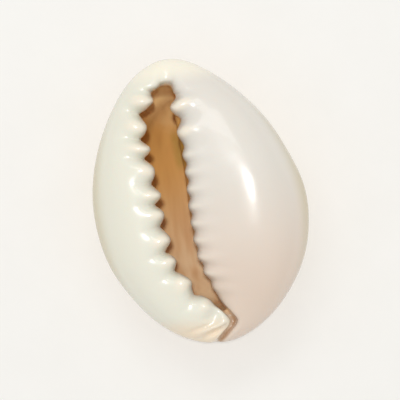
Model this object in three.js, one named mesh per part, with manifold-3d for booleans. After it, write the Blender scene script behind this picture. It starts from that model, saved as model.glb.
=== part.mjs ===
// A ring cowrie shell with a drilled threading hole, lying on its back with its toothed slit upwards.
// Millimetres. +Z is up, +Y is the front (siphon) end, -X is the outer lip and +X the swollen body whorl.
// The origin is under the middle of the shell, on the surface that it rests on.

import * as THREE from 'three';
import { mergeVertices } from 'three/addons/utils/BufferGeometryUtils.js';
import Module from 'manifold-3d';

// ---- driving dimensions ----

const SHELL_LENGTH = 18.4;
const SHELL_WIDTH = 13.7;
const BACK_DEPTH = 6.3; // from the widest line of the shell down to the top of its domed back
const BACK_TAPER = 0.06; // the back is this much deeper at the back end, and shallower at the front
const BASE_HEIGHT = 2.9; // from the widest line up to the base, before it swells and dips
const REST_FLAT_DEPTH = 0.12; // how much of the dome is worn flat where it rests

const END_WALL = 1.3;
const SIDE_WALL = 1.7;
const BACK_WALL = 1.15;
const BASE_WALL = 2.1;

const VALLEY_DEPTH = 0.9; // the base dips towards the slit
const VALLEY_REACH = 2.6;
const BODY_SWELL = { height: 0.5, x: 4.3, reach: 2.2 }; // and it swells on both sides of the slit
const LIP_SWELL = { height: 0.35, x: -4.3, reach: 1.8 };
const MARGIN_ROLL = 0.07; // the sides roll outwards at the widest line, by this part of the width
const MARGIN_ROLL_DEPTH = 1.5;

const SLIT_FLOOR = 0.25; // the canals at the slit's ends stay this far above the widest line
const SLIT_TOP = 6;
const LIP_TEETH = 10;
const LIP_TOOTH_DEPTH = 0.55;
const COLUMELLA_TEETH = 12;
const COLUMELLA_TOOTH_DEPTH = 0.12;
const FRONT_FOLD_DEPTH = 0.45; // the columella's front teeth are deeper by this much
const POINTS_PER_TOOTH = 6;
const TEETH_FROM = 0.15; // the teeth fill this part of the slit's length
const TEETH_TO = 0.88;
const TEETH_FADE = 1 / 6; // and grow to full depth over this part of it at each end
const FRONT_FOLD_RISE = 6; // the higher, the fewer columella teeth are folds

const DRILL_RADIUS = 0.65;
const DRILL_AT = 0.74; // fraction of the way from the middle to the front end
const DRILL_ASIDE = 0.45; // the hole is a little to the body whorl's side of the back's middle
const DRILL_LENGTH = 6;
const DRILL_SIDES = 20;

const RINGS_ALONG = 40;
const RINGS_AROUND = 56;
const CAVITY_ALONG = 26;
const CAVITY_AROUND = 36;

const HALF_LENGTH = SHELL_LENGTH / 2;
const HALF_WIDTH = SHELL_WIDTH / 2;

// The middle line of the slit from the back end to the front end, with the half-width at each place.
const SLIT_LINE = [
  { x: 0.1, y: -9.6, half: 0.28 },
  { x: 1.0, y: -8.6, half: 0.24 },
  { x: 1.55, y: -7.9, half: 0.24 },
  { x: 1.24, y: -7.3, half: 0.24 },
  { x: 0.62, y: -6.6, half: 0.28 },
  { x: -0.28, y: -5.4, half: 0.5 },
  { x: -1.12, y: -3.5, half: 0.68 },
  { x: -1.42, y: -0.8, half: 0.75 },
  { x: -1.56, y: 1.8, half: 0.9 },
  { x: -1.8, y: 4.2, half: 1.0 },
  { x: -1.78, y: 6.0, half: 0.85 },
  { x: -1.42, y: 7.1, half: 0.6 },
  { x: -1.2, y: 7.8, half: 0.34 },
  { x: -1.0, y: 9.6, half: 0.34 },
];

// ---- the outer form ----

// The spine of the shell drifts towards the lip side at the front.
function spineX(t) {
  return 0.12 - 0.75 * t - 0.4 * t * t;
}

// The outline is an egg: an ellipse that narrows towards the front.
function eggWidth(t) {
  return 0.992 - 0.1 * t - 0.145 * t * t;
}

function bell(distance, reach) {
  return Math.exp(-((distance / reach) ** 2));
}

function signedPower(value, power) {
  return Math.sign(value) * Math.abs(value) ** power;
}

// Places one point of a unit sphere, whose poles are the shell's two ends, on an egg-shaped body.
// The back is a round dome and the base is flatter.
function eggPoint(direction, size) {
  const t = direction.y;
  const around = Math.hypot(direction.x, direction.z);
  if (around < 1e-6) {
    return new THREE.Vector3(spineX(t), t * size.length, 0);
  }
  const isBase = direction.z > 0;
  const roundness = isBase ? size.baseRoundness : size.backRoundness;
  const across = signedPower(direction.x / around, roundness);
  const up = signedPower(direction.z / around, roundness);
  const ringSize = isBase ? around ** size.baseEndFullness : around;
  const height = isBase ? size.base : size.back * (1 - BACK_TAPER * t);
  const z = height * ringSize * up;
  const tuck = 1 - MARGIN_ROLL * (1 - bell(Math.min(0, z), MARGIN_ROLL_DEPTH));
  return new THREE.Vector3(
    spineX(t) + size.width * eggWidth(t) * around * across * tuck,
    t * size.length,
    z,
  );
}

const slitCurve = new THREE.CatmullRomCurve3(
  SLIT_LINE.map((stop) => new THREE.Vector3(stop.x, stop.y, stop.half)),
  false,
  'centripetal',
);

// The place on the slit's middle line that is level with y.
function slitAt(y) {
  let low = 0;
  let high = 1;
  for (let step = 0; step < 24; step += 1) {
    const middle = (low + high) / 2;
    if (slitCurve.getPoint(middle).y < y) {
      low = middle;
    } else {
      high = middle;
    }
  }
  return slitCurve.getPoint(low);
}

// How much the base stands above a plain egg at a point: two swells, and the valley of the slit.
function baseRise(point, t) {
  const aside = point.x - spineX(t);
  const body = BODY_SWELL.height * bell(aside - BODY_SWELL.x, BODY_SWELL.reach);
  const lip = LIP_SWELL.height * bell(aside - LIP_SWELL.x, LIP_SWELL.reach);
  const valley = VALLEY_DEPTH * bell(point.x - slitAt(point.y).x, VALLEY_REACH);
  return (body + lip) * (1 - t * t) - valley;
}

// Bends a finely divided sphere into an egg-shaped closed body.
function eggGeometry(size, ringsAround, ringsAlong, hasValley) {
  const geometry = new THREE.SphereGeometry(1, ringsAround, ringsAlong);
  const corners = geometry.getAttribute('position');
  const direction = new THREE.Vector3();
  for (let i = 0; i < corners.count; i += 1) {
    direction.fromBufferAttribute(corners, i);
    const point = eggPoint(direction, size);
    if (hasValley && point.z > 0) {
      point.z += baseRise(point, direction.y) * Math.min(1, point.z / size.base);
    }
    corners.setXYZ(i, point.x, point.y, point.z);
  }
  return geometry;
}

// ---- the toothed slit ----

// One edge of the slit, from the back end to the front end. Side is -1 on the lip, 1 on the columella.
// Between its teeth the edge steps back into the lip. Towards the slit's ends the teeth die out.
function slitEdge(side, teeth, toothDepth, frontExtra) {
  const points = [];
  const count = Math.round((teeth * POINTS_PER_TOOTH) / (TEETH_TO - TEETH_FROM));
  for (let i = 0; i <= count; i += 1) {
    const stop = slitCurve.getPointAt(i / count);
    const along = THREE.MathUtils.clamp((i / count - TEETH_FROM) / (TEETH_TO - TEETH_FROM), 0, 1);
    const wave = 0.5 - 0.5 * Math.cos(2 * Math.PI * teeth * along);
    const fade = Math.min(1, along / TEETH_FADE, (1 - along) / TEETH_FADE);
    const depth = (toothDepth + frontExtra * along ** FRONT_FOLD_RISE) * wave * fade;
    points.push(new THREE.Vector2(stop.x + side * (stop.z + depth), stop.y));
  }
  return points;
}

function slitGeometry() {
  const lipEdge = slitEdge(-1, LIP_TEETH, LIP_TOOTH_DEPTH, 0);
  const columellaEdge = slitEdge(1, COLUMELLA_TEETH, COLUMELLA_TOOTH_DEPTH, FRONT_FOLD_DEPTH);
  const outline = new THREE.Shape([...columellaEdge, ...lipEdge.reverse()]);
  const geometry = new THREE.ExtrudeGeometry(outline, { depth: SLIT_TOP, bevelEnabled: false });
  geometry.translate(0, 0, SLIT_FLOOR);
  return geometry;
}

// ---- the drilled hole, square to the back where it is drilled ----

function drillGeometry() {
  const geometry = new THREE.CylinderGeometry(DRILL_RADIUS, DRILL_RADIUS, DRILL_LENGTH, DRILL_SIDES);
  const slope = Math.atan2(DRILL_AT / SHELL_LENGTH, Math.sqrt(1 - DRILL_AT ** 2) / (2 * BACK_DEPTH));
  geometry.rotateX(Math.PI / 2 + slope);
  const depth = BACK_DEPTH * Math.sqrt(1 - DRILL_AT ** 2);
  geometry.translate(spineX(DRILL_AT) + DRILL_ASIDE, DRILL_AT * HALF_LENGTH, -depth);
  return geometry;
}

// ---- joining and cutting ----

const solids = await Module();
solids.setup();

function toSolid(geometry) {
  const bare = geometry.clone();
  bare.deleteAttribute('normal');
  bare.deleteAttribute('uv');
  const merged = mergeVertices(bare, 1e-4);
  return new solids.Manifold(new solids.Mesh({
    numProp: 3,
    vertProperties: new Float32Array(merged.getAttribute('position').array),
    triVerts: new Uint32Array(merged.getIndex().array),
  }));
}

function toGeometry(solid) {
  const mesh = solid.getMesh();
  const geometry = new THREE.BufferGeometry();
  geometry.setAttribute('position', new THREE.BufferAttribute(mesh.vertProperties, 3));
  geometry.setIndex(new THREE.BufferAttribute(mesh.triVerts, 1));
  geometry.computeVertexNormals();
  return geometry;
}

const outerSize = {
  length: HALF_LENGTH,
  width: HALF_WIDTH,
  back: BACK_DEPTH,
  base: BASE_HEIGHT,
  backRoundness: 1.02,
  baseRoundness: 0.95,
  baseEndFullness: 0.8,
};

const cavitySize = {
  ...outerSize,
  length: HALF_LENGTH - END_WALL,
  width: HALF_WIDTH - SIDE_WALL,
  back: BACK_DEPTH - BACK_WALL,
  base: BASE_HEIGHT - BASE_WALL,
};

const outer = toSolid(eggGeometry(outerSize, RINGS_AROUND, RINGS_ALONG, true));
const cavity = toSolid(eggGeometry(cavitySize, CAVITY_AROUND, CAVITY_ALONG, false));
const restCut = new THREE.BoxGeometry(SHELL_WIDTH, SHELL_WIDTH, 2);
restCut.translate(0, 0, REST_FLAT_DEPTH - BACK_DEPTH - 1);

const shellSolid = outer
  .subtract(cavity)
  .subtract(toSolid(slitGeometry()))
  .subtract(toSolid(drillGeometry()))
  .subtract(toSolid(restCut));

const shellGeometry = toGeometry(shellSolid);
shellGeometry.computeBoundingBox();
const box = shellGeometry.boundingBox;
shellGeometry.translate(-(box.min.x + box.max.x) / 2, -(box.min.y + box.max.y) / 2, -box.min.z);

// ---- the part ----

const porcelain = new THREE.MeshStandardMaterial({ color: 0xe8e0d4, roughness: 0.2, metalness: 0 });
const shell = new THREE.Mesh(shellGeometry, porcelain);
shell.name = 'shell';

const part = new THREE.Group();
part.name = 'ring_cowrie';
part.add(shell);

export default part;
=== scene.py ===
# %% [markdown]
# # A ring cowrie shell, modelled like clay and painted like porcelain
#
# A cowrie is a snail shell whose last turn has swallowed all the others. It is one smooth egg of
# shell with a long toothed slit along its base. This one lies on its back with the slit up, and
# somebody drilled a hole near its front end to thread it on a string.
#
# The lesson goes in four steps: load the frame, shape the shell, paint it, and light it.

import math

import bpy
import numpy as np
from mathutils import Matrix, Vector


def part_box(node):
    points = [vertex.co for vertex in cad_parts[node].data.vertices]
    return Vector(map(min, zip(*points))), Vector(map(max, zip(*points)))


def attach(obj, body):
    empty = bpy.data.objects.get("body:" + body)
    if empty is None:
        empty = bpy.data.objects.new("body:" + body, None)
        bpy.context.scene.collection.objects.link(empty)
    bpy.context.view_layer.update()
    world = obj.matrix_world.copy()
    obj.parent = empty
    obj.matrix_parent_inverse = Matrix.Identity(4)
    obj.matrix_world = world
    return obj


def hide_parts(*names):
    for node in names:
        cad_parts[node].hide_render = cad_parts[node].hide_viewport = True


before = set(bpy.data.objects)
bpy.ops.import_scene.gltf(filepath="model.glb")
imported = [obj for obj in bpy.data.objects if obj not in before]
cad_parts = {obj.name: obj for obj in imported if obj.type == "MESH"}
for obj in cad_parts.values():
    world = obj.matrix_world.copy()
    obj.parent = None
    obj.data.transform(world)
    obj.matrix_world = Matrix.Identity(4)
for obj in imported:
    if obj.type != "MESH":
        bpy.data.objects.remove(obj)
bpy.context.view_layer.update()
low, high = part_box("shell")
MM = 0.001
LENGTH = (high[1] - low[1]) / MM
WIDTH = (high[0] - low[0]) / MM
HEIGHT = (high[2] - low[2]) / MM
print(f"the shell is {LENGTH:.1f} mm long, {WIDTH:.1f} mm wide and {HEIGHT:.1f} mm high")

# %% [markdown]
# ## The shape as a field
#
# A shell has no flat panels and no edges to bevel: lips roll inwards, teeth melt into the lip, and
# an outside surface turns into an inside one. Pulling a subdivision cage into that shape is slow,
# and cutting it with booleans leaves hard seams. So the shell is described by a *field*: a function
# that says, for any point, about how many millimetres it is from the shell. It is negative in the
# shell's wall and positive outside. One field cuts another with a smooth maximum, which rounds the
# seam by itself.
#
# All the shaping is done in millimetres, with z = 0 at the shell's widest line.

# %% Driving sizes
HALF_LENGTH = LENGTH / 2
HALF_WIDTH = WIDTH / 2
BACK_DEPTH = 0.6919 * HEIGHT  # from the widest line down to the top of the domed back
BASE_HEIGHT = 0.3185 * HEIGHT  # from the widest line up to the crests of the base
BACK_WALL = 1.15
SIDE_WALL = 1.9
BASE_WALL = 2.3


# %% Smooth tools that work on whole arrays of points
def smooth_max(a, b, rounding):
    """The larger of two fields, with the seam rounded over about this many millimetres."""
    closeness = np.maximum(rounding - np.abs(a - b), 0) / rounding
    return np.maximum(a, b) + closeness * closeness * rounding / 4


def ramp(value, start, end):
    """0 before start, 1 after end, and a smooth rise between them."""
    part = np.clip((value - start) / (end - start), 0, 1)
    return part * part * (3 - 2 * part)


def bell(value, reach):
    """1 where the value is 0, and fading away to both sides within about this reach."""
    return np.exp(-((value / reach) ** 2))


# %% A gentle unevenness, as nothing that has grown is perfectly regular
rng = np.random.default_rng(7)
WAVES = 14
UNEVENNESS = 0.035  # in millimetres
wave_directions = rng.normal(size=(WAVES, 3))
wave_directions /= np.linalg.norm(wave_directions, axis=1)[:, None]
wave_lengths = rng.uniform(3.0, 9.0, WAVES)
wave_starts = rng.uniform(0, 2 * math.pi, WAVES)


def unevenness(x, y, z):
    """A gentle swell, mostly between -1 and 1, made of a few sine waves in random directions."""
    total = np.zeros_like(x)
    for direction, length, start in zip(wave_directions, wave_lengths, wave_starts):
        along = x * direction[0] + y * direction[1] + z * direction[2]
        total += np.sin(along * 2 * math.pi / length + start)
    return total / math.sqrt(WAVES)


# %% [markdown]
# ## The egg
#
# Seen from above, the shell is an egg that narrows to the front and leans towards its lip. Seen from
# the end, the back is a round dome, the base is flatter, and the sides roll outwards where the animal
# laid down extra callus. The egg could be a lofted set of rings. As a field, it is a stretched
# sphere: each point is measured against the half-width, depth or height of the shell at its own place.

# %% The egg
# In the functions here, t runs from -1 at the back end to 1 at the front end.
MARGIN_ROLL = 0.07  # the sides roll outwards at the widest line, by this part of the width
MARGIN_ROLL_DEPTH = 1.5
BACK_POWER = 1.96  # 2 is an ellipse, and more is squarer
BASE_POWER = 2.1
BACK_TAPER = 0.06  # the back is this much deeper at the back end
BASE_END_FULLNESS = 0.2  # the base stays high towards the ends


def spine_x(t):
    """Where the middle of the shell is: it drifts towards the lip at the front."""
    return 0.12 - 0.75 * t - 0.4 * t * t


def egg_width(t):
    """The width of an egg that narrows towards the front, as a part of an ellipse's."""
    return 0.992 - 0.1 * t - 0.145 * t * t


def stretched_sphere(x, y, z):
    """1 on the egg's surface, less inside it and more outside."""
    t = y / HALF_LENGTH
    ring = np.sqrt(np.clip(1 - t * t, 0.003, 1))
    is_base = z > 0
    tuck = 1 - MARGIN_ROLL * (1 - bell(np.minimum(z, 0), MARGIN_ROLL_DEPTH))
    across = np.abs(x - spine_x(t)) / (HALF_WIDTH * egg_width(t) * tuck)
    height = np.where(is_base, BASE_HEIGHT / ring ** BASE_END_FULLNESS, BACK_DEPTH * (1 - BACK_TAPER * t))
    up = np.abs(z) / height
    power = np.where(is_base, BASE_POWER, BACK_POWER)
    section = (across ** power + up ** power + 1e-12) ** (1 / power)
    return np.sqrt(t * t + section * section)


# %% [markdown]
# ## The slit's path
#
# The slit runs the whole length of the base. It is widest at the front, narrows to the back and hooks
# round the end of the lip. It could be drawn as a curve object, but the field needs numbers. So one
# smooth line through a few points gives its middle and half-width at every place along the shell.

# %% The slit's path
SLIT_LINE = np.array([  # x, y, half-width
    (0.1, -9.6, 0.32),
    (1.0, -8.6, 0.27),
    (1.55, -7.9, 0.24),
    (1.24, -7.3, 0.24),
    (0.62, -6.6, 0.32),
    (-0.28, -5.4, 0.66),
    (-1.12, -3.5, 0.84),
    (-1.42, -0.8, 0.92),
    (-1.56, 1.8, 1.06),
    (-1.8, 4.2, 1.15),
    (-1.78, 6.0, 0.95),
    (-1.42, 7.1, 0.66),
    (-1.2, 7.8, 0.34),
    (-1.0, 9.6, 0.34),
])


def smooth_line(stops, steps=16):
    """A Catmull-Rom line through the stops."""
    padded = np.vstack([2 * stops[0] - stops[1], stops, 2 * stops[-1] - stops[-2]])
    points = []
    for a, b, c, d in zip(padded, padded[1:], padded[2:], padded[3:]):
        for s in np.arange(steps) / steps:
            points.append(0.5 * (2 * b + (c - a) * s + (2 * a - 5 * b + 4 * c - d) * s ** 2
                                 + (3 * b - a - 3 * c + d) * s ** 3))
    points.append(stops[-1])
    return np.array(points)


slit_line = smooth_line(SLIT_LINE)
slit_slope = np.gradient(slit_line[:, 0], slit_line[:, 1])


def slit_middle(y):
    return np.interp(y, slit_line[:, 1], slit_line[:, 0])


print(f"the slit is {2 * slit_line[:, 2].max():.2f} mm wide at its widest")


def slit_place(x, y):
    """How far a point is from the slit's edge, and which side it is on: -1 is the outer lip."""
    middle = slit_middle(y)
    half = np.interp(y, slit_line[:, 1], slit_line[:, 2])
    slope = np.interp(y, slit_line[:, 1], slit_slope)
    aside = x - middle
    distance = (np.abs(aside) - half) / np.sqrt(1 + slope * slope)
    return distance, np.where(aside < 0, -1, 1)


# %% [markdown]
# ## The outer skin
#
# Near the slit the base dips, because both lips roll into it, and on each side of this valley it swells.
# The dip could be sculpted by hand, but here it only moves each point up before it is measured.
# Dividing the stretched sphere by its own steepness turns it into a fair measure in millimetres, which
# every later step needs.

# %% The outer skin
VALLEY_DEPTH = 0.9
VALLEY_REACH = 2.6
BODY_SWELL = 0.5
BODY_SWELL_X = 4.3
BODY_SWELL_REACH = 2.2
LIP_SWELL = 0.35
LIP_SWELL_X = -4.3
LIP_SWELL_REACH = 1.8
PROBE = 0.02  # how far apart two points are measured to find the steepness


def dipped_sphere(x, y, z):
    """The stretched sphere with the base's valley and its two swells."""
    t = y / HALF_LENGTH
    aside = x - spine_x(t)
    swell = BODY_SWELL * bell(aside - BODY_SWELL_X, BODY_SWELL_REACH)
    swell = swell + LIP_SWELL * bell(aside - LIP_SWELL_X, LIP_SWELL_REACH)
    dip = VALLEY_DEPTH * bell(x - slit_middle(y), VALLEY_REACH) - swell * np.clip(1 - t * t, 0, 1)
    return stretched_sphere(x, y, z + dip * np.clip(z / BASE_HEIGHT, 0, 1))


def skin_distance(x, y, z):
    """Millimetres outside the shell's outer skin, or below it where negative."""
    here = dipped_sphere(x, y, z)
    slope_x = (dipped_sphere(x + PROBE, y, z) - here) / PROBE
    slope_y = (dipped_sphere(x, y + PROBE, z) - here) / PROBE
    slope_z = (dipped_sphere(x, y, z + PROBE) - here) / PROBE
    steepness = np.sqrt(slope_x ** 2 + slope_y ** 2 + slope_z ** 2)
    return (here - 1) / np.maximum(steepness, 0.05)


# %% [markdown]
# ## The teeth
#
# On the outer lip the teeth are bold ribs that start inside the slit, cross the lip's edge and fade
# out over the base. On the columella, the side of the inner turns, they are finer and shorter, except
# for two or three strong folds at the front. Each tooth could be its own little solid. But grown teeth
# swell out of the lip without a seam, so they are a wave that is added to the field along the slit.

# %% The lip's teeth
LIP_TOOTH_STEP = 1.43
LIP_FIRST_TOOTH = -6.475
LIP_TOOTH_SIZE = 0.66
LIP_TOOTH_REACH = 0.85  # how far a tooth runs out over the base
LIP_TOOTH_DEPTH = 2.2  # and down into the slit
LIP_FAN_BACK = 0.85  # the teeth spread like a fan, more so at the back
LIP_FAN_FRONT = 0.42
LAST_TEETH = -5.6  # behind this place the teeth are a little closer together
CREST_ROUNDING = 0.004


def lip_teeth(t, y, edge, outwards, depth):
    fan = np.where(t < 0, LIP_FAN_BACK, LIP_FAN_FRONT) * t
    level = y - fan * outwards + 0.1 * np.sin(1.7 * y)
    level = level + 0.15 * np.minimum(level - LAST_TEETH, 0)
    turns = (level - LIP_FIRST_TOOTH) / LIP_TOOTH_STEP
    # the teeth are longer and bigger at the front, and longer but lower on the tail
    front = ramp(t, 0.1, 0.8)
    tail = ramp(-t, 0.66, 0.84)
    ridge = (0.5 + 0.5 * np.cos(2 * math.pi * turns) + CREST_ROUNDING) ** (0.5 + 0.5 * tail)
    reach = LIP_TOOTH_REACH + 0.5 * front + 0.45 * tail
    size = (LIP_TOOTH_SIZE + 0.12 * front - 0.16 * tail) * (1 + 0.16 * np.sin(2.2 * level + 0.7))
    size = size * bell(outwards, reach) * bell(depth, LIP_TOOTH_DEPTH)
    # they leave the tail's groove open, and die out at both ends of the slit
    size = size * (1 - ramp(-y, 5.9, 7.0) * (1 - ramp(edge, 0.0, 0.5)))
    ends = ramp(y, -9.2, -8.2) * (1 - ramp(y, 6.9, 7.6))
    return size * ends * (ridge - 0.6)


# %% The columella's teeth
COLUMELLA_TOOTH_STEP = 1.077
COLUMELLA_FIRST_TOOTH = -6.794
COLUMELLA_TOOTH_SIZE = 0.22
COLUMELLA_TOOTH_REACH = 0.95
COLUMELLA_TOOTH_DEPTH = 2.6
COLUMELLA_FAN = 0.3
FOLD_GROWTH = 0.42  # the front folds are bigger than the other teeth by this much
WIDER_FROM = 3.4  # and wider apart, from this place on


def columella_teeth(t, y, outwards, depth):
    level = y - 0.36 * np.maximum(y - WIDER_FROM, 0) - COLUMELLA_FAN * t * outwards
    turns = (level - COLUMELLA_FIRST_TOOTH) / COLUMELLA_TOOTH_STEP
    ridge = (0.5 + 0.5 * np.cos(2 * math.pi * turns)) ** 0.8
    fold = ramp(y, 3.0, 5.6)
    size = (COLUMELLA_TOOTH_SIZE + FOLD_GROWTH * fold) * bell(outwards, COLUMELLA_TOOTH_REACH)
    size = size * bell(depth, COLUMELLA_TOOTH_DEPTH)
    ends = ramp(y, -6.6, -4.5) * (1 - ramp(y, 6.4, 7.2))
    return size * ends * (ridge - 0.5)


# %% Both rows of teeth
def tooth_wave(x, y, z, skin, edge, side):
    """How far the teeth push the surface out at each point, in millimetres."""
    t = y / HALF_LENGTH
    outwards = np.maximum(edge, 0)
    depth = np.maximum(-skin, 0)
    teeth = np.where(side < 0, lip_teeth(t, y, edge, outwards, depth), columella_teeth(t, y, outwards, depth))
    # they stay on the base: below the widest line and near the margin there are none
    margin = np.abs(x - spine_x(t)) / (HALF_WIDTH * egg_width(t) * np.sqrt(np.clip(1 - t * t, 0.01, 1)))
    return teeth * ramp(z, -1.2, 0.6) * (1 - ramp(margin, 0.62, 0.92))


print(f"a tooth every {LIP_TOOTH_STEP:.2f} mm on the lip and every {COLUMELLA_TOOTH_STEP:.2f} mm opposite")


# %% [markdown]
# ## The hollow, the canals and the drilled hole
#
# The shell is hollow, with a thin back and thick lips. The hollow is the egg's own field moved in by
# the wall's thickness. On the columella's side a thick roll hangs into it, where the inner turns begin.
# At both ends the slit runs out over the rim as a shallow canal. The drilled hole goes in square to the
# back, and its rim is chipped where the glaze broke away. Boolean cuts would leave all their edges
# sharp. Here each cut has a rounding of its own: wide on the lips, and hardly any at the drilled hole.

# %% The drilled hole
DRILL_RADIUS = 0.62
DRILL_AT = 0.74  # this part of the way from the middle of the shell to its front end
DRILL_ASIDE = 0.45
DRILL_REACH = 2.6  # the hole is cut this far to each side of the skin, which is right through the wall
CHIP_SIZE = 0.2
drill_ring = math.sqrt(1 - DRILL_AT ** 2)
drill_point = np.array([spine_x(DRILL_AT) + DRILL_ASIDE, DRILL_AT * HALF_LENGTH, -BACK_DEPTH * drill_ring])
drill_way = np.array([0, DRILL_AT / HALF_LENGTH, -drill_ring / BACK_DEPTH])
drill_way /= np.linalg.norm(drill_way)
drill_side = np.array([1.0, 0, 0])
drill_front = np.cross(drill_way, drill_side)


def drill_distance(x, y, z, skin):
    """Negative in the drilled hole, which widens in chips near the outer skin."""
    offset = [x - drill_point[0], y - drill_point[1], z - drill_point[2]]
    along = sum(o * d for o, d in zip(offset, drill_way))
    right = sum(o * d for o, d in zip(offset, drill_side))
    ahead = sum(o * d for o, d in zip(offset, drill_front))
    angle = np.arctan2(ahead, right)
    chips = 0.5 + 0.25 * np.sin(2 * angle + 0.6) + 0.2 * np.sin(5 * angle + 2.0) + 0.1 * np.sin(11 * angle)
    radius = DRILL_RADIUS + 0.02 * np.sin(5 * angle)
    radius = radius + np.clip(chips, 0.1, 1) * CHIP_SIZE * ramp(skin, -0.3, 0.0)
    across = np.hypot(right, ahead) - radius
    return np.maximum(across, np.abs(along) - DRILL_REACH)


print(f"the drilled hole is {2 * DRILL_RADIUS:.2f} mm wide, {drill_point[1]:.1f} mm in front of the middle")


# %% The whole shell
LIP_ROUNDING = 1.1
SLIT_DEPTH = -1.5  # the slit opens into the hollow here
FRONT_CANAL_FLOOR = 1.0
BACK_CANAL_FLOOR = 0.35
ROLL_RADIUS = 1.75
ROLL_HEIGHT = 0.15
ROLL_GAP = 0.5  # from the slit's middle to the roll
REST_FLAT_DEPTH = 0.12  # how much of the dome is worn flat where it rests
REST_LEVEL = REST_FLAT_DEPTH - BACK_DEPTH


def wall_thickness(z):
    """Thin at the back, thicker at the sides and thickest in the lips."""
    back_to_side = (SIDE_WALL - BACK_WALL) * ramp(z, -3.5, -0.5)
    return BACK_WALL + back_to_side + (BASE_WALL - SIDE_WALL) * ramp(z, -0.5, 1.0)


def shell_field(x, y, z):
    """Negative in the shell's wall, positive in the air."""
    t = y / HALF_LENGTH
    skin = skin_distance(x, y, z) - UNEVENNESS * unevenness(x, y, z)
    edge, side = slit_place(x, y)
    # the hollow, with the columella's roll left standing in it
    hollow = skin + wall_thickness(z)
    roll_size = ROLL_RADIUS * np.sqrt(np.clip(1 - (t / 0.95) ** 2, 0.01, 1))
    roll = np.hypot(x - (slit_middle(y) + ROLL_GAP + roll_size), z - ROLL_HEIGHT) - roll_size
    hollow = smooth_max(hollow, -roll, 0.8)
    # the slit goes down to the hollow, and its ends are shallow canals
    floor = (SLIT_DEPTH + (FRONT_CANAL_FLOOR - SLIT_DEPTH) * ramp(y, 6.9, 7.9)
             + (BACK_CANAL_FLOOR - SLIT_DEPTH) * ramp(-y, 6.0, 7.6) - 0.5 * ramp(-y, 8.2, 9.4))
    slope_in = np.where(side > 0, 0.55 * ramp(-z, -1.2, 1.5), 0)
    slit = smooth_max(edge + slope_in, floor - z, 0.5)
    wall_field = smooth_max(skin, -hollow, 0.4)
    rounding = LIP_ROUNDING - 0.6 * ramp(t, 0.72, 0.9) - 0.8 * ramp(-t, 0.66, 0.82)
    body = smooth_max(wall_field, -slit, rounding)
    body = body - tooth_wave(x, y, z, skin, edge, side)
    # the drilled hole, and the flat that it rests on
    body = smooth_max(body, -drill_distance(x, y, z, skin), 0.06)
    return smooth_max(body, REST_LEVEL - z, REST_FLAT_DEPTH)


# %% [markdown]
# ## From the field to a mesh
#
# Blender needs faces. A *surface net* makes them: the space is divided in small cubes, every cube that
# the surface passes through gets one corner point, and the points of neighbouring cubes are joined in
# four-sided faces. Marching cubes would do it too, but it leaves thin slivers.

# %% The field on a grid
CELL = 0.13
GRID_MARGIN = 0.5
LEAN_MARGIN = 0.3  # more at the sides, as the egg leans


def grid_axis(start, end):
    return np.arange(start - GRID_MARGIN, end + GRID_MARGIN + CELL, CELL)


axes = [
    grid_axis(-HALF_WIDTH - LEAN_MARGIN, HALF_WIDTH + LEAN_MARGIN),
    grid_axis(-HALF_LENGTH, HALF_LENGTH),
    grid_axis(-BACK_DEPTH, BASE_HEIGHT),
]
field = shell_field(*np.meshgrid(*axes, indexing="ij"))
print(f"the field has {field.size} points, {np.mean(field < 0):.0%} of them in the shell")

# %% [markdown]
# Where two bits of wall, or two bits of air, touch only across the corner of a grid square, four faces
# would meet at one edge and the net would pinch. A finer grid only moves such places. So each one is
# opened first: the corner that is nearest to the surface changes sides, too small a change to be seen.

# %% Open the pinched places
OPENING_ROUNDS = 4


def untangle(values):
    """Flips the weakest corner of each grid square whose signs alternate."""
    flips = 0
    for axis in range(3):
        layers = np.moveaxis(values, axis, 0)
        inside = layers < 0
        one, two, three, four = inside[:, :-1, :-1], inside[:, 1:, :-1], inside[:, 1:, 1:], inside[:, :-1, 1:]
        for layer, row, column in np.argwhere((one == three) & (two == four) & (one != two)):
            square = [(layer, row + a, column + b) for a, b in ((0, 0), (1, 0), (1, 1), (0, 1))]
            weakest = min(square, key=lambda corner: abs(layers[corner]))
            layers[weakest] *= -1
            flips += 1
    return flips


for _ in range(OPENING_ROUNDS):
    print(f"{untangle(field)} pinched places opened")


# %% The surface net
def surface_net(values):
    """Points, in grid steps, and four-sided faces of the surface where the values change sign."""
    shape = np.array(values.shape)
    strides = np.array([shape[1] * shape[2], shape[2], 1])
    crossings, cells, faces = [], [], []
    for axis in range(3):
        first = np.moveaxis(values, axis, 0)[:-1]
        second = np.moveaxis(values, axis, 0)[1:]
        changes = np.argwhere((first < 0) != (second < 0))
        a = first[tuple(changes.T)]
        b = second[tuple(changes.T)]
        place = np.insert(changes[:, 1:], axis, changes[:, 0], axis=1)
        point = place.astype(float)
        point[:, axis] += a / (a - b)
        one, two = [other for other in range(3) if other != axis]
        around = []
        for step_one, step_two in ((0, 0), (1, 0), (1, 1), (0, 1)):
            cell = place.copy()
            cell[:, one] -= step_one
            cell[:, two] -= step_two
            around.append(cell @ strides)
            crossings.append(point)
            cells.append(around[-1])
        face = np.stack(around, axis=1)
        turned = (a < 0) == (axis == 1)
        face[turned] = face[turned][:, ::-1]
        faces.append(face)
    used, place_of = np.unique(np.concatenate(cells), return_inverse=True)
    amount = np.bincount(place_of)
    crossings = np.concatenate(crossings)
    points = np.stack([np.bincount(place_of, crossings[:, k]) / amount for k in range(3)], axis=1)
    return points, np.searchsorted(used, np.concatenate(faces))


points, faces = surface_net(field)
points = points * CELL + np.array([axis[0] for axis in axes])
print(f"the net has {len(points)} points and {len(faces)} faces")


# %% [markdown]
# A fresh net is stepped and uneven. A smoothing modifier would wear the teeth down. So the points are
# spread evenly among their neighbours and pulled back onto the surface, again and again, which gives a
# clean, even mesh that keeps every tooth.

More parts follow.
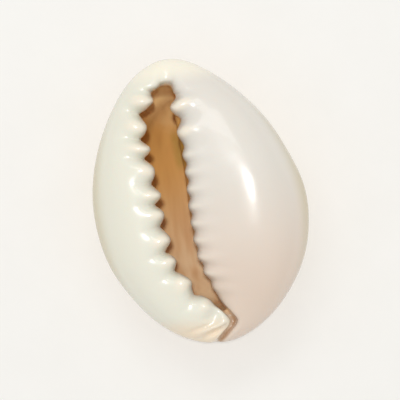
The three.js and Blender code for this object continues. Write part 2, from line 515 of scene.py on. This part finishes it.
# %% Spread the points and pull them back
STEP = 0.01
SPREAD_SHARE = 0.5
SPREAD_ROUNDS = 4
LONGEST_PULL = 0.4 * CELL


def field_and_slope(points):
    x, y, z = points.T
    slope = np.stack([
        shell_field(x + STEP, y, z) - shell_field(x - STEP, y, z),
        shell_field(x, y + STEP, z) - shell_field(x, y - STEP, z),
        shell_field(x, y, z + STEP) - shell_field(x, y, z - STEP),
    ], axis=1) / (2 * STEP)
    return shell_field(x, y, z), slope


def pull_back(points):
    value, slope = field_and_slope(points)
    steepness = np.maximum((slope ** 2).sum(axis=1), 0.05)
    move = -(value / steepness)[:, None] * slope
    size = np.linalg.norm(move, axis=1, keepdims=True)
    return points + move * np.minimum(1, LONGEST_PULL / np.maximum(size, 1e-9))


edges = np.concatenate([faces[:, [k, (k + 1) % 4]] for k in range(4)])
edges = np.unique(np.sort(edges, axis=1), axis=0)
neighbours = np.bincount(edges.ravel(), minlength=len(points))


def spread(points, share):
    total = np.stack([
        np.bincount(edges[:, 0], points[edges[:, 1], k], len(points))
        + np.bincount(edges[:, 1], points[edges[:, 0], k], len(points)) for k in range(3)
    ], axis=1)
    return points + share * (total / neighbours[:, None] - points)


for _ in range(SPREAD_ROUNDS):
    points = pull_back(spread(points, SPREAD_SHARE))
points = pull_back(pull_back(points))
print(f"the points are within {np.abs(shell_field(*points.T)).max():.4f} mm of the surface")

# %% [markdown]
# ## The mesh
#
# The faces could go in through `from_pydata`, but `foreach_set` takes whole arrays and is much faster
# with this many. The mesh is then moved to the place that the frame gives the shell.

# %% The shell's mesh, placed where the frame has it
def make_mesh(name, points, faces):
    mesh = bpy.data.meshes.new(name)
    mesh.vertices.add(len(points))
    mesh.vertices.foreach_set("co", points.astype(np.float32).ravel())
    mesh.loops.add(faces.size)
    mesh.loops.foreach_set("vertex_index", faces.astype(np.int32).ravel())
    mesh.polygons.add(len(faces))
    mesh.polygons.foreach_set("loop_start", np.arange(0, faces.size, 4, dtype=np.int32))
    mesh.polygons.foreach_set("use_smooth", np.ones(len(faces), dtype=bool))
    mesh.update(calc_edges=True)
    mesh.validate()
    piece = bpy.data.objects.new(name, mesh)
    bpy.context.collection.objects.link(piece)
    return piece


middle_of_points = (points.min(axis=0) + points.max(axis=0)) / 2
bottom = points[:, 2].min()
shift = np.array([
    (low[0] + high[0]) / 2 / MM - middle_of_points[0],
    (low[1] + high[1]) / 2 / MM - middle_of_points[1],
    low[2] / MM - bottom,
])
shell = make_mesh("cowrie_shell", (points + shift) * MM, faces)
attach(shell, "root")
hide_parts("shell")
print(f"the shell's mesh has {len(shell.data.polygons)} faces, moved by {shift.round(2)} mm")

# %% [markdown]
# ## What the paint needs to know
#
# The colours of a cowrie follow its form: brown deep in the slit, cream on the teeth, a gold ring
# round the back. The field already knows where all these are, so the numbers are kept on the mesh's
# points as attributes, and the material reads them.

# %% Form attributes
def keep(name, values):
    attribute = shell.data.attributes.new(name, "FLOAT", "POINT")
    attribute.data.foreach_set("value", np.asarray(values, dtype=np.float32))


x, y, z = points.T
t = y / HALF_LENGTH
skin = skin_distance(x, y, z)
edge, side = slit_place(x, y)

keep("along", t)  # -1 at the back end, 1 at the front end
keep("across", (x - spine_x(t)) / (HALF_WIDTH * egg_width(t)))  # -1 at the lip's margin, 1 at the body's
keep("height", z)
keep("inward", -skin / wall_thickness(z))  # 0 on the outside, 1 in the hollow
keep("edge", edge)
keep("tooth", tooth_wave(x, y, z, skin, edge, side))
keep("drill", drill_distance(x, y, z, skin))
# -1 on the lip and 1 on the body whorl. The change is sharp at the slit and soft down the two ends.
blend_width = 0.05 + 2.2 * ramp(-z, -0.8, 1.6)
keep("side", np.tanh((x - slit_middle(y)) / blend_width))
print(f"{len(shell.data.attributes)} attributes are on the shell")

# %% [markdown]
# ## Sums with sockets
#
# A material's maths is easier to read as sums than as a web of nodes. This small class wraps a socket,
# and each sum on it adds one Math node. Other nodes come from `Paint.add`. Only `Paint.mix` finds its
# sockets by identifier, because a Mix node has several sockets of the same name.

# %% The socket class
class Wire:
    """A number that changes over the surface."""

    def __init__(self, paint, socket):
        self.paint = paint
        self.socket = socket

    def math(self, operation, *values):
        return self.paint.add("ShaderNodeMath", {"operation": operation}, values)

    def __add__(self, other):
        return self.math("ADD", self, other)

    def __sub__(self, other):
        return self.math("SUBTRACT", self, other)

    def __rsub__(self, other):
        return self.math("SUBTRACT", other, self)

    def __mul__(self, other):
        return self.math("MULTIPLY", self, other)

    def __pow__(self, other):
        return self.math("POWER", self, other)

    def absolute(self):
        return self.math("ABSOLUTE", self)

    __radd__ = __add__
    __rmul__ = __mul__


class Paint:
    """A material and the nodes that colour it."""

    def __init__(self, name):
        self.material = bpy.data.materials.new(name)
        self.material.use_nodes = True
        self.tree = self.material.node_tree
        self.shader = self.tree.nodes["Principled BSDF"]

    def plug(self, value, socket):
        if isinstance(value, Wire):
            self.tree.links.new(value.socket, socket)
        else:
            socket.default_value = value

    def add(self, kind, settings=None, values=(), output=0):
        """Adds a node: first its settings, then the values or links of its sockets, by place or by name."""
        node = self.tree.nodes.new(kind)
        for name, setting in (settings or {}).items():
            setattr(node, name, setting)
        named = values.items() if isinstance(values, dict) else enumerate(values)
        for name, value in named:
            self.plug(value, node.inputs[name])
        return Wire(self, node.outputs[output])

    def form(self, name):
        return self.add("ShaderNodeAttribute", {"attribute_name": name}, output="Fac")

    def rise(self, value, start, end):
        """0 before start, 1 after end, and a smooth rise between them."""
        settings = {"interpolation_type": "SMOOTHSTEP", "clamp": True}
        return self.add("ShaderNodeMapRange", settings, {"Value": value, "From Min": start, "From Max": end})

    def noise(self, size, detail=3.0, roughness=0.5, where=None):
        """Soft random spots about this many millimetres across, between 0 and 1."""
        place = where or self.add("ShaderNodeTexCoord", output="Object")
        values = {"Vector": place, "Scale": 1 / (size * MM), "Detail": detail, "Roughness": roughness}
        return self.add("ShaderNodeTexNoise", {}, values, output="Fac")

    def bump(self, height, rise_mm):
        """Raises the surface by this many millimetres where the height is 1, in its shading only."""
        values = {"Strength": 1.0, "Distance": rise_mm * MM, "Height": height}
        return self.add("ShaderNodeBump", {}, values, "Normal")

    def mix(self, first, second, mask):
        """The first colour, turning into the second where the mask is 1."""
        node = self.tree.nodes.new("ShaderNodeMix")
        node.data_type = "RGBA"
        for name, value in (("Factor_Float", mask), ("A_Color", first), ("B_Color", second)):
            socket = next(s for s in node.inputs if s.identifier == name)
            self.plug(value, socket)
        return Wire(self, next(s for s in node.outputs if s.identifier == "Result_Color"))

    def set(self, **values):
        for name, value in values.items():
            self.plug(value, self.shader.inputs[name.replace("_", " ")])


def colour(red, green, blue):
    """A colour given as 0 to 255, as a paint chart has it."""
    def linear(part):
        part /= 255
        return part / 12.92 if part <= 0.04045 else ((part + 0.055) / 1.055) ** 2.4
    return (linear(red), linear(green), linear(blue), 1.0)


# %% [markdown]
# ## The porcelain
#
# All the colour is one material on one mesh, as the shell is one piece. It could be painted on an
# image, but then it would blur close up. Here each colour is laid over the last one with a mask that is
# worked out from the form attributes, as a china painter lays glazes. Soft noise keeps the edges from
# being too regular.

# %% Form and noise for the masks
porcelain = Paint("cowrie_porcelain")
inward = porcelain.form("inward")
edge_wire = porcelain.form("edge")
side_wire = porcelain.form("side")
tooth = porcelain.form("tooth")
along = porcelain.form("along")
across_wire = porcelain.form("across")
level = porcelain.form("height")
cut = porcelain.form("drill")
towards_back = 0 - along
mottle = porcelain.noise(3.0, 3.0, 0.55)
fine = porcelain.noise(0.7, 3.0, 0.6)
drift = porcelain.noise(7.0, 2.0, 0.5)
ripples = porcelain.noise(1.7, 2.0, 0.4)
place = porcelain.add("ShaderNodeTexCoord", output="Object")
lengthwise = porcelain.add("ShaderNodeVectorMath", {"operation": "MULTIPLY"}, (place, (1.0, 0.15, 1.0)))
streaks = porcelain.noise(1.1, 2.0, 0.5, lengthwise)

# %% [markdown]
# ## The base
#
# The side with the slit is glossy white callus. It is cool on the lip, and warmer on the body whorl,
# most of all towards its back. The margin is painted a little darker and greener, as shade at the
# edge, and the teeth and both ends are creamy, where the callus is thick.

# %% Colours of the base
LIP_WHITE = colour(236, 234, 219)
BODY_WHITE = colour(231, 226, 217)
BODY_ROSE = colour(229, 208, 190)
MARGIN_SHADE_GREEN = colour(210, 196, 160)
FRONT_CREAM = colour(253, 246, 228)
BEAK_CREAM = colour(248, 226, 198)
TOOTH_CREAM = colour(252, 240, 220)

is_body = side_wire * 0.5 + 0.5
rosy = is_body * (1 - porcelain.rise(along, -0.75, 0.35))
# painted shade: the margin is darker and greener all round
rim_shade = porcelain.rise(across_wire.absolute() + along * along * 0.35, 0.86, 1.04)
beak = porcelain.rise(towards_back, 0.78, 0.92) * (1 - is_body)
base = porcelain.mix(LIP_WHITE, BODY_WHITE, is_body)
base = porcelain.mix(base, BODY_ROSE, rosy * 0.85)
base = porcelain.mix(base, MARGIN_SHADE_GREEN, rim_shade * 0.9)
base = porcelain.mix(base, FRONT_CREAM, porcelain.rise(along, 0.80, 0.93) * 0.85)
base = porcelain.mix(base, BEAK_CREAM, beak * 0.8)
base = porcelain.mix(base, TOOTH_CREAM, porcelain.rise(tooth, 0.02, 0.2) * 0.7)

# %% [markdown]
# The canal at the back end is a narrow groove, and its shade is painted in brown. A shadow from the light
# alone would vanish from other sides, so the painted shade gets a brown of its own.

# %% Painted shade in the canal at the back end
CANAL_SHADE_BROWN = colour(166, 120, 78)

# painted shade: the groove at the back end turns brown, on the base side only
canal_shade = (1 - porcelain.rise(edge_wire, -0.2, 0.06)) * porcelain.rise(towards_back, 0.66, 0.76)
base = porcelain.mix(base, CANAL_SHADE_BROWN, canal_shade * porcelain.rise(level, -0.6, 0.2) * 0.85)

# %% [markdown]
# ## The back
#
# A ring cowrie has a gold line round the top of its back. Inside the line the back is cream, blotched
# with grey-green and rose, and outside it the flanks are a pinkish beige. The line could be a curve laid
# on the mesh. As a mask it is the distance from the top of the back, measured in the shell's own oval,
# and noise makes it wander. It is orange at the two ends and paler ochre in places.

# %% Colours of the back
BACK_CREAM = colour(232, 220, 200)
BACK_GREEN = colour(214, 206, 180)
BACK_ROSE = colour(230, 208, 192)
FLANK_PALE = colour(226, 204, 180)
FLANK_TAN = colour(214, 186, 158)
RING_GOLD = colour(224, 160, 54)
RING_OCHRE = colour(206, 166, 78)
RING_ORANGE = colour(222, 118, 46)
RING_LENGTHWISE = 1.16  # the higher, the smaller the ring
RING_CROSSWISE = 1.29

from_top = (along * along * RING_LENGTHWISE + across_wire * across_wire * RING_CROSSWISE) ** 0.5
ring = from_top + (mottle - 0.5) * 0.16
back_middle = porcelain.mix(BACK_CREAM, BACK_GREEN, porcelain.rise(mottle, 0.35, 0.65))
back_middle = porcelain.mix(back_middle, BACK_ROSE, porcelain.rise(drift, 0.45, 0.7) * 0.6)
flank = porcelain.mix(FLANK_PALE, FLANK_TAN, porcelain.rise(fine, 0.35, 0.7) * 0.5)
back = porcelain.mix(back_middle, flank, porcelain.rise(ring, 0.86, 0.95))

# %% The gold line
line = porcelain.rise(ring, 0.80, 0.87) * (1 - porcelain.rise(ring, 0.88, 0.99))
gold = porcelain.mix(RING_GOLD, RING_OCHRE, porcelain.rise(drift, 0.42, 0.62))
gold = porcelain.mix(gold, RING_ORANGE, porcelain.rise(along.absolute(), 0.5, 0.85) * 0.7)
back = porcelain.mix(back, gold, line * (0.6 + porcelain.rise(mottle, 0.3, 0.6) * 0.38))
body_colour = porcelain.mix(base, back, 1 - porcelain.rise(level, -2.6, -0.2))

# %% [markdown]
# ## The drilled hole
#
# A drill leaves bare, chalky shell on its walls, and scuffs the glaze round its rim. Both follow the
# distance to the hole, which the field gave.

# %% Colours of the drilled hole
SCUFFED = colour(236, 228, 208)
BARE_CHALK = colour(240, 228, 204)

halo = 1 - porcelain.rise(cut, 0.05, 0.75)
chalk = 1 - porcelain.rise(cut, 0.01, 0.07)
body_colour = porcelain.mix(body_colour, SCUFFED, halo * 0.5)

# %% [markdown]
# ## The inside
#
# Deep in the slit the shell is painted orange-brown, as shade and warm light bounced off the inside of
# the back. It is darker towards the front, lit again by a painted light at the front end, and paler at
# the back, with soft streaks along the growth of the whorl and a painted olive shadow near the columella.
# The painted shade starts part of the way into the wall, so that the teeth are white at their crests
# and turn brown as they go in.

# %% Colours inside: painted shade and bounced light, with streaks
INSIDE_PALE = colour(242, 210, 166)
INSIDE_SHADE_BROWN = colour(226, 170, 94)
INSIDE_FRONT_LIGHT = colour(255, 218, 156)
STREAK_BROWN = colour(196, 130, 64)
MOTTLE_PALE = colour(240, 200, 140)
OLIVE_SHADE = colour(186, 146, 62)

# painted shade and painted warm reflection: orange-brown deep in the slit, paler at the back
inside = porcelain.mix(INSIDE_PALE, INSIDE_SHADE_BROWN, porcelain.rise(along, -0.55, 0.3))
# painted light: the front end of the slit is lit up brighter
inside = porcelain.mix(inside, INSIDE_FRONT_LIGHT, porcelain.rise(along, 0.5, 0.8))
inside = porcelain.mix(inside, STREAK_BROWN, porcelain.rise(streaks, 0.35, 0.8) * 0.6)
inside = porcelain.mix(inside, MOTTLE_PALE, porcelain.rise(mottle, 0.55, 0.75) * 0.4)
# painted shade: an olive shadow in the slit near the columella
olive_shade_stretch = porcelain.rise(along, 0.2, 0.3) * (1 - porcelain.rise(along, 0.45, 0.56))
inside = porcelain.mix(inside, OLIVE_SHADE, olive_shade_stretch * porcelain.rise(across_wire, -0.2, -0.12) * 0.7)
# the painted shade begins part of the way into the wall; the same mask also dulls the gloss below
is_inside = porcelain.rise(inward, 0.3, 0.85)
body_colour = porcelain.mix(body_colour, inside, is_inside)
body_colour = porcelain.mix(body_colour, BARE_CHALK, chalk * (1 - is_inside * 0.6))

# %% [markdown]
# ## The gloss
#
# A cowrie's callus is as smooth as glass, the inside is dull, and so are bare chalk and the worn spot
# that it rests on. One mask says where the gloss is. It lowers the roughness and adds a thin coat. A
# bump of about a hundredth of a millimetre makes the highlights waver, as they do on a grown surface.

# %% Gloss, bump and the shader
worn = 1 - porcelain.rise(level, REST_LEVEL + 0.02, REST_LEVEL + 0.16)
gloss = (1 - is_inside) * (1 - chalk) * (1 - worn * 0.6)
relief = ripples + fine * 0.12 + streaks * is_inside * 1.5

porcelain.set(
    Base_Color=body_colour,
    Roughness=0.62 + (fine - 0.5) * 0.1 - gloss * 0.38,
    Coat_Weight=gloss * 0.35,
    Normal=porcelain.bump(relief, 0.012),
    Coat_Roughness=0.05,
    IOR=1.5,
    Subsurface_Weight=0.12,
    Subsurface_Radius=(1.0, 0.7, 0.5),
    Subsurface_Scale=0.0012,
)
shell.data.materials.append(porcelain.material)
print(f"the porcelain has {len(porcelain.tree.nodes)} nodes")

# %% [markdown]
# ## The table
#
# The shell lies on a pale card, at the height of the frame's lowest point. One plane is enough, with
# very faint spots, as paper has them.

# %% The table
TABLE_SIZE = 1.2  # metres
middle = Vector(((low[0] + high[0]) / 2, (low[1] + high[1]) / 2, (low[2] + high[2]) / 2))
bpy.ops.mesh.primitive_plane_add(size=TABLE_SIZE, location=(middle.x, middle.y, low[2]))
table = bpy.context.object
table.name = "pale_table"
card = Paint("pale_card")
card.set(
    Base_Color=card.mix(colour(244, 243, 240), colour(240, 239, 235), card.noise(4.0)),
    Roughness=0.7,
)
table.data.materials.append(card.material)

# %% [markdown]
# ## The lights
#
# A narrow sun lamp, nearly overhead, gives the shell its sharp highlight on the body whorl, and lights
# the slit down to its floor. From lower down it would throw a band of shadow into the slit. A wide
# softbox at the front end fills the teeth, and a pale world lifts the rest, so the shadows stay soft.

# %% The key light, the softbox and the world
KEY_FROM = Vector((0.0, 0.6, 6.5))
KEY_ANGLE = math.radians(3.4)
KEY_STRENGTH = 1.6
WORLD_STRENGTH = 0.45


def softbox(name, place, size, power):
    """A rectangular soft light, aimed at the shell. Place and size are in shell lengths."""
    lamp = bpy.data.lights.new(name, "AREA")
    lamp.shape = "RECTANGLE"
    lamp.size, lamp.size_y = [part * LENGTH * MM for part in size]
    lamp.energy = power
    holder = bpy.data.objects.new(name, lamp)
    holder.location = middle + Vector(place) * LENGTH * MM
    holder.rotation_euler = (middle - holder.location).to_track_quat("-Z", "Y").to_euler()
    bpy.context.collection.objects.link(holder)


key = bpy.data.lights.new("key_light", "SUN")
key.angle = KEY_ANGLE
key.energy = KEY_STRENGTH
key_holder = bpy.data.objects.new("key_light", key)
key_holder.rotation_euler = KEY_FROM.to_track_quat("Z", "Y").to_euler()
bpy.context.collection.objects.link(key_holder)
softbox("front_softbox", (-0.6, 3.2, 6.0), (3.4, 1.6), 0.014)

world = bpy.data.worlds.new("studio")
world.use_nodes = True
background = world.node_tree.nodes["Background"]
background.inputs["Color"].default_value = (1.0, 0.99, 0.97, 1)
background.inputs["Strength"].default_value = WORLD_STRENGTH
bpy.context.scene.world = world
bpy.context.scene.view_settings.view_transform = "Standard"

# %% [markdown]
# ## The camera
#
# The shell is seen from straight above, turned a little. A wide lens close by would make the middle
# bulge, so the lens is long and stands about five shell lengths away.

# %% The camera
TURN = math.radians(-5.8)
LENS = 135
VIEW_WIDTH = 1.42 * LENGTH * MM
camera_data = bpy.data.cameras.new("camera")
camera_data.lens = LENS
camera_data.clip_start = 0.005
distance = VIEW_WIDTH / 2 / math.tan(camera_data.angle / 2)
camera = bpy.data.objects.new("camera", camera_data)
camera.location = middle + Vector((0, 0, distance))
camera.rotation_euler = (0, 0, TURN)
bpy.context.collection.objects.link(camera)
bpy.context.scene.camera = camera
print(f"the camera is {distance:.3f} m above the shell")
